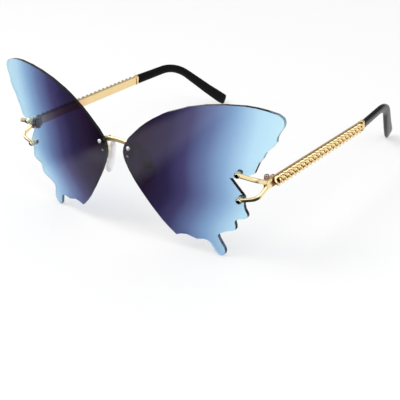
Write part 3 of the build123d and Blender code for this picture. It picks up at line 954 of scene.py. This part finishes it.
class MakeMetalwork(bpy.types.Operator):
    """Plates the bridge, forks, hinges, temples, collars and pad arms"""

    bl_idname = "sunglasses.make_metalwork"
    bl_label = "Metalwork"

    # Soft edges of the painted patches on the band, out from the links' inner side: painted shade on its
    # outer face, a painted reflection of the lens on its inner face
    outer_face = mm(-0.25, -0.1)
    inner_face = mm(-0.6, -0.3)

    # Shares of the chain's length where the painted reflection of the lens beside the hinge starts to fade
    # and ends
    lens_reflection_shares = (0.38, 0.52)

    def execute(self, context):
        looks = context.scene.sunglasses_gold
        soft = looks.edge_round
        gold = metal("plated gold", looks.face, looks.roughness)
        pale = metal("pale gold", looks.pale, looks.fork_roughness)
        rosy = metal("rosy gold", looks.hinge, looks.hinge_roughness)
        plate = metal("satin insert", looks.insert, looks.insert_roughness)
        bridge = metal("bridge gold", looks.pale, looks.bridge_roughness, [(self.pins, looks.pin)])
        # The band's gold carries painted shade behind the links and a painted reflection of the dark lens
        # beside the hinge
        band = metal(
            "band gold", looks.face, looks.roughness,
            [(self.link_shade_mask, looks.painted_link_shade), (self.lens_reflection_mask, looks.rosy)],
        )
        dress("bridge", "bridge_bar", bridge, "gold", edge_round=soft)
        for side in SIDES:
            for node, name, finish, slot, smooth_deg, edge_round in (
                ("fork", "fork_plated", pale, "gold", FLAT_DEG, soft),
                ("temple_bar", "temple_band", band, "gold", FLAT_DEG, looks.band_round),
                ("temple_collar", "collar_ring", gold, "gold", FLAT_DEG, soft),
                ("hinge_front", "hinge_fixed_half", rosy, "gold", ROUND_DEG, 0.0),
                ("hinge_rear", "hinge_moving_half", rosy, "gold", ROUND_DEG, 0.0),
                ("pad_arm", "pad_arm_plated", gold, "gold", ROUND_DEG, 0.0),
                ("pad_insert", "pad_insert_plate", plate, "pad_core", FLAT_DEG, soft),
            ):
                dress(f"{side}_{node}", f"{side}_{name}", finish, slot, smooth_deg, edge_round)
        return {"FINISHED"}

    def pins(self, shading):
        """Mask of the steel pins that stand in the lenses' second holes."""
        sizes = bpy.context.scene.sunglasses_fasteners
        screws = [seat.place.translation for seat in seats("bridge_screws")]
        screw = max(screws, key=lambda place: place.x)
        pin = screw - Vector((sizes.pin_shift, 0, sizes.pin_drop))
        return spots(shading, [lens_ball() + outward_at(pin) * LENS_CURVE], sizes.pin_radius)

    def link_shade_mask(self, shading):
        """Mask of the band's outer face behind the links, where their shade is painted in."""
        out = shading.math("ABSOLUTE", shading.axes(shading.place())[0])
        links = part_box("left_temple_chain")[0][0]
        return shading.span(out, *(links + shift for shift in self.outer_face))

    def lens_reflection_mask(self, shading):
        """Mask of the band's inner face beside the hinge, where a painted reflection of the dark lens
        makes the gold rosy.
        """
        across, back = shading.axes(shading.place())[:2]
        low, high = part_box("left_temple_chain")
        face = [low[0] + shift for shift in self.inner_face]
        ends = [low[1] + part * (high[1] - low[1]) for part in self.lens_reflection_shares]
        inner = shading.span(shading.math("ABSOLUTE", across), *face, 1.0, 0.0)
        return shading.math("MULTIPLY", inner, shading.span(back, *ends, 1.0, 0.0))


class MakeChains(bpy.types.Operator):
    """Makes the curb chains on the temples"""

    bl_idname = "sunglasses.make_chains"
    bl_label = "Chains"

    def execute(self, context):
        looks = context.scene.sunglasses_gold
        gold = metal("chain gold", looks.face, looks.roughness)
        places = link_places()
        pitch = (places[-1].y - places[0].y) / (len(places) - 1)
        link = curb_link(context.scene.sunglasses_links, pitch)
        temple = temple_frame()
        row = bmesh.new()
        for place in places:
            add_shape(row, link, temple @ Matrix.Translation(place))
        link.free()
        both_sides(row, "temple_chain", "curb_chain", gold, "gold")
        return {"FINISHED"}


class MakeFasteners(bpy.types.Operator):
    """Makes the screws, bushes, washers and cap nuts"""

    bl_idname = "sunglasses.make_fasteners"
    bl_label = "Fasteners"

    # Turn of the screwdriver slots from level, in degrees
    bridge_turn_deg, fork_turn_deg = 35.0, 70.0

    def execute(self, context):
        sizes = context.scene.sunglasses_fasteners
        looks = context.scene.sunglasses_steel
        steel = metal("bright steel", looks.bright, looks.bright_roughness)
        worn = metal("hinge steel", looks.worn, looks.worn_roughness)
        dark = metal("blackened steel", looks.dark, looks.dark_roughness)
        # The fork screws' heads carry painted shade in their middles
        head = metal("socket steel", looks.head, looks.head_roughness, [(self.socket_shade_mask, looks.socket)])
        nylon = clear("clear nylon", looks.nylon, looks.nylon_roughness, looks.nylon_index)
        make_screws(
            "bridge_screws", "bridge_screw_heads", steel, "bright_steel", sizes, self.bridge_turn_deg
        )
        make_cap_nuts("bridge_nuts", "bridge_cap_nuts", steel, "bright_steel")
        make_bushes("bridge_bushes", "bridge_bush_rings", nylon, "clear_nylon", sizes)
        for side in SIDES:
            forks = f"{side}_fork"
            make_screws(
                f"{forks}_screws", f"{forks}_screw_heads", head, "dark_steel", sizes, self.fork_turn_deg
            )
            make_cap_nuts(f"{forks}_nuts", f"{forks}_cap_nuts", dark, "dark_steel")
            make_bushes(f"{forks}_bushes", f"{forks}_bush_rings", nylon, "clear_nylon", sizes)
            make_washers(f"{forks}_washers", f"{forks}_washer_rings", nylon, "clear_nylon", sizes)
            for node, finish in (("hinge_screw", worn), ("pad_screw", steel)):
                dress(f"{side}_{node}", f"{side}_{node}_turned", finish, "bright_steel", ROUND_DEG)
        return {"FINISHED"}

    def socket_shade_mask(self, shading):
        """Mask of the dark middles of the fork screws' heads, where the shade of a recess is painted in.
        """
        tops = [seat.place @ Vector((0, 0, seat.far)) for seat in seats("left_fork_screws")]
        return spots(shading, tops, bpy.context.scene.sunglasses_fasteners.socket_shade_radius)


class MakePads(bpy.types.Operator):
    """Makes the soft clear nose pads"""

    bl_idname = "sunglasses.make_pads"
    bl_label = "Nose pads"

    def execute(self, context):
        sizes = context.scene.sunglasses_pads
        silicone = clear(
            "clear silicone", sizes.silicone, sizes.roughness, sizes.index, sizes.clearness
        )
        place = pad_frame(sizes)
        rings = []
        steps = 8
        for number in range(steps + 1):
            lean = pi * (number / steps - 0.5)
            inset = sizes.rim * (1 - cos(lean))
            height = sizes.thickness / 2 * sin(lean)
            rings.append([place @ point for point in self.drop(sizes, inset, height)])
        both_sides(loft(rings), "nose_pad", "nose_pad_soft", silicone, "clear_silicone")
        return {"FINISHED"}

    def drop(self, sizes, inset, height):
        """One outline of the drop-shaped pad, drawn in by an inset."""
        points = []
        steps = 16
        for side, radius in ((1, sizes.top), (-1, sizes.bottom)):
            middle = side * sizes.run / 2 - sizes.hang
            for number in range(steps + 1):
                turn = pi * number / steps
                points.append(Vector((
                    side * (radius - inset) * cos(turn),
                    middle + side * (radius - inset) * sin(turn),
                    height,
                )))
        return points


class MakeTips(bpy.types.Operator):
    """Makes the black ear tips"""

    bl_idname = "sunglasses.make_tips"
    bl_label = "Ear tips"

    # Share of the length, and height, thickness and lift in millimetres, of the tip's sections
    sections = (
        (0.00, 4.7, 2.5, 0.0), (0.26, 4.4, 2.5, 0.0), (0.40, 4.3, 2.5, 0.0), (0.53, 4.5, 2.5, 0.0),
        (0.80, 5.6, 2.4, 0.1), (0.95, 6.3, 2.2, 0.5), (1.00, 6.0, 1.8, 0.85),
    )

    # Distance past the last section in millimetres, and size as a share of it, of the closing rings
    closing = ((0.25, 0.94), (0.5, 0.82), (0.7, 0.63), (0.8, 0.38))

    # Distance between sections, points of a section, and how round it is, from 0 for square to 1
    step = 1.5 * MM
    sides = 24
    roundness = 0.65

    def execute(self, context):
        looks = context.scene.sunglasses_tips
        temple = temple_frame()
        lean = atan2(-temple[2][1], temple[2][2])
        down = (temple.translation.z - looks.end_rise - looks.end_along * sin(lean)) / cos(lean)
        path = bent_line(
            Vector((looks.start_out, looks.start_along, 0)),
            Vector((looks.start_out - looks.bend_in, looks.bend_along, looks.bend_rise)),
            Vector((looks.start_out - looks.end_in, looks.end_along, -down)),
            looks.bend_radius, self.step,
        )
        across = path[0][1].cross(path[-1][1]).normalized()
        rings = []
        for number, (middle, along) in enumerate(path):
            passed = number / (len(path) - 1)
            rings.append(self.ring(temple, middle, along, across, passed, 1.0))
        middle, along = path[-1]
        for reach, drawn in self.closing:
            rings.append(self.ring(temple, middle + along * reach * MM, along, across, 1.0, drawn))
        black = black_plastic(looks)
        both_sides(loft(rings), "temple_tip", "ear_tip", black, "black_acetate", smooth_deg=60.0)
        return {"FINISHED"}

    def size_at(self, share_along):
        """Height, thickness and lift of the section at that share of the length."""
        for before, after in zip(self.sections, self.sections[1:]):
            if share_along <= after[0]:
                blend = (share_along - before[0]) / (after[0] - before[0])
                return [(low + (high - low) * blend) * MM for low, high in zip(before[1:], after[1:])]
        return mm(*self.sections[-1][1:])

    def ring(self, temple, middle, along, across, share_along, drawn):
        """One rounded section of the tip, drawn in towards its middle by a share."""
        height, thickness, lift = self.size_at(share_along)
        up = along.cross(across).normalized()
        if up.z < 0:
            up = -up
        points = []
        for number in range(self.sides):
            turn = 2 * pi * number / self.sides
            wide, tall = cos(turn), sin(turn)
            wide = copysign(abs(wide) ** self.roundness, wide) * thickness / 2 * drawn
            tall = copysign(abs(tall) ** self.roundness, tall) * height / 2 * drawn
            points.append(temple @ (middle + across * wide + up * (tall + lift)))
        return points


class MakeStage(bpy.types.Operator):
    """Sets the floor, the world, the lamps and the camera"""

    bl_idname = "sunglasses.make_stage"
    bl_label = "Stage"

    # Half the floor's width, and how far out its shadows start and stop fading, in metres
    floor_reach = 3.0
    shadow_fade = (0.2, 1.2)

    # Soft edges of the cards on the floor: the white strip's two sides and where it dims towards
    # the glasses, the dim card's side and end, and the start of the bright ground
    strip_left, strip_right, strip_dimming = mm(-98, -72), mm(-38, -12), mm(-128, -106)
    dim_side, dim_end = mm(-8, 20), mm(-200, -160)
    ground_start = mm(-60, -30)
    strip_strength = 1.1

    # Soft edges in the world that gloss sees, as parts of a direction: its back and its top
    back_edge, back_strength = (0.45, -0.1), 0.45
    top_edge = (0.85, 0.97)
    plain_strength = 0.75

    # Place and size in metres, and power in watts, of each lamp
    lamps = {"key": ((-0.5, -0.3, 0.9), 0.6, 6.0), "fill": ((0.7, -0.2, 0.8), 0.8, 4.0)}

    # Width of the camera's sensor in millimetres, and the nearest and furthest it sees in metres
    sensor_width = 36.0
    clip_start, clip_end = 0.01, 20.0

    def execute(self, context):
        looks = context.scene.sunglasses_stage
        self.add_floor(looks)
        self.add_world()
        self.add_lamps()
        self.add_camera(looks)
        return {"FINISHED"}

    def seen(self, shading, path):
        """Mask of what the camera sees, also through the lenses."""
        return shading.math("MAXIMUM", path.outputs["Is Camera Ray"], path.outputs["Is Transmission Ray"])

    def add_floor(self, looks):
        """A wide pale floor that covers part of its shadows with white, and carries the cards."""
        material, shading = new_material("pale floor")
        tone = uneven(shading, looks.floor_white, darkest=0.99, scale=4.0)
        paper = shading.add("ShaderNodeBsdfPrincipled", {"Base Color": tone, "Roughness": 0.9})
        path = shading.add("ShaderNodeLightPath")
        reach = shading.vector("LENGTH", shading.place()).outputs["Value"]
        glow = shading.span(reach, *self.shadow_fade, looks.floor_glow, 1.0)
        cover = shading.span(reach, *self.shadow_fade, looks.shadow_lift, 1.0)
        white = shading.add("ShaderNodeEmission", {"Color": WHITE, "Strength": glow})
        covered = shading.math("MULTIPLY", self.seen(shading, path), cover)
        shown = shading.layer(covered, paper.outputs["BSDF"], white.outputs["Emission"])
        level, strip = self.cards(shading, looks)
        cast = shading.blend(strip, WHITE, looks.mirror_cast)
        cards = shading.add("ShaderNodeEmission", {"Color": cast, "Strength": level})
        mirrored = shading.math(
            "SUBTRACT", path.outputs["Is Glossy Ray"], path.outputs["Is Transmission Ray"]
        )
        mirrored.node.use_clamp = True
        finish_surface(shading, shading.layer(mirrored, shown, cards.outputs["Emission"]))
        mesh = bmesh.new()
        bmesh.ops.create_grid(mesh, x_segments=1, y_segments=1, size=self.floor_reach)
        new_piece("floor", mesh, material, FLAT_DEG)

    def cards(self, shading, looks):
        """Brightness of the cards on the floor that only gloss reflects, and the white strip's part."""
        wide, deep = shading.axes(shading.place())[:2]
        strip = shading.joined(
            "MULTIPLY",
            shading.span(wide, *self.strip_left),
            shading.span(wide, *self.strip_right, 1.0, 0.0),
            shading.span(deep, *self.strip_dimming, 1.0, looks.mirror_strip),
            self.strip_strength,
        )
        dim = shading.joined(
            "MULTIPLY",
            shading.span(wide, *self.dim_side),
            shading.span(deep, *self.dim_end, 1.0, 0.0),
            looks.mirror_dim,
        )
        ground = shading.span(deep, *self.ground_start)
        return shading.joined("MAXIMUM", strip, dim, ground, looks.mirror_dark), strip

    def add_world(self):
        """A soft even world that the camera and glass see as white, and gloss sees as a studio."""
        world = bpy.data.worlds.new("studio")
        bpy.context.scene.world = world
        world.use_nodes = True
        shading = Shading(world.node_tree)
        path = shading.add("ShaderNodeLightPath")
        back, up = shading.axes(shading.add("ShaderNodeTexCoord").outputs["Generated"])[1:]
        studio = shading.math(
            "MAXIMUM",
            shading.span(back, *self.back_edge, self.back_strength, 1.0),
            shading.span(up, *self.top_edge),
        )
        plain, gloss, white = (
            shading.add("ShaderNodeBackground", {"Color": WHITE, "Strength": strength}).outputs[0]
            for strength in (self.plain_strength, studio, 1.0)
        )
        level = shading.layer(path.outputs["Is Glossy Ray"], plain, gloss)
        output = shading.add("ShaderNodeOutputWorld")
        shading.link(shading.layer(self.seen(shading, path), level, white), output.inputs["Surface"])

    def add_lamps(self):
        """Broad soft square lamps, aimed at the glasses."""
        for name, (place, size, power) in self.lamps.items():
            data = bpy.data.lights.new(name, "AREA")
            data.size = size
            data.energy = power
            lamp = bpy.data.objects.new(name, data)
            lamp.location = place
            lamp.rotation_euler = (-Vector(place)).to_track_quat("-Z", "Y").to_euler()
            bpy.context.scene.collection.objects.link(lamp)

    def add_camera(self, looks):
        """The camera at the photograph's viewing angle."""
        azimuth, elevation = looks.camera_azimuth, looks.camera_elevation
        back = Vector(
            (sin(azimuth) * cos(elevation), -cos(azimuth) * cos(elevation), sin(elevation))
        )
        data = bpy.data.cameras.new("camera")
        data.sensor_width = self.sensor_width
        data.lens = looks.focal_length
        data.clip_start, data.clip_end = self.clip_start, self.clip_end
        camera = bpy.data.objects.new("camera", data)
        facing = (-back).to_track_quat("-Z", "Y").to_matrix().to_4x4()
        roll = Matrix.Rotation(looks.camera_roll, 4, "Z")
        place = Vector(looks.camera_aim) + back * looks.camera_distance
        camera.matrix_world = Matrix.Translation(place) @ facing @ roll
        bpy.context.scene.collection.objects.link(camera)
        bpy.context.scene.camera = camera
        bpy.context.scene.view_settings.view_transform = "Standard"


OPERATORS = (
    MakeLenses, MakeMetalwork, MakeChains, MakeFasteners, MakePads, MakeTips, MakeStage,
)


class SunglassesPanel(bpy.types.Panel):
    """Lists the pieces and their looks in the sidebar"""

    bl_idname = "VIEW3D_PT_sunglasses"
    bl_label = "Sunglasses"
    bl_space_type = "VIEW_3D"
    bl_region_type = "UI"
    bl_category = "Sunglasses"

    def draw(self, context):
        for name, group in LOOKS.items():
            box = self.layout.box()
            for prop in group.__annotations__:
                box.prop(getattr(context.scene, name), prop)
        for operator in OPERATORS:
            self.layout.operator(operator.bl_idname)


def register():
    """Registers the classes and their settings."""
    for group in (*LOOKS.values(), *OPERATORS, SunglassesPanel):
        bpy.utils.register_class(group)
    for name, group in LOOKS.items():
        setattr(bpy.types.Scene, name, PointerProperty(type=group))


def unregister():
    """Takes the classes and their settings out again."""
    for name in LOOKS:
        delattr(bpy.types.Scene, name)
    for group in (SunglassesPanel, *reversed(OPERATORS), *LOOKS.values()):
        bpy.utils.unregister_class(group)


def main():
    """Makes every piece in order."""
    register()
    for operator in OPERATORS:
        call = getattr(bpy.ops.sunglasses, operator.bl_idname.split(".")[1])
        call()


if __name__ == "__main__":
    main()
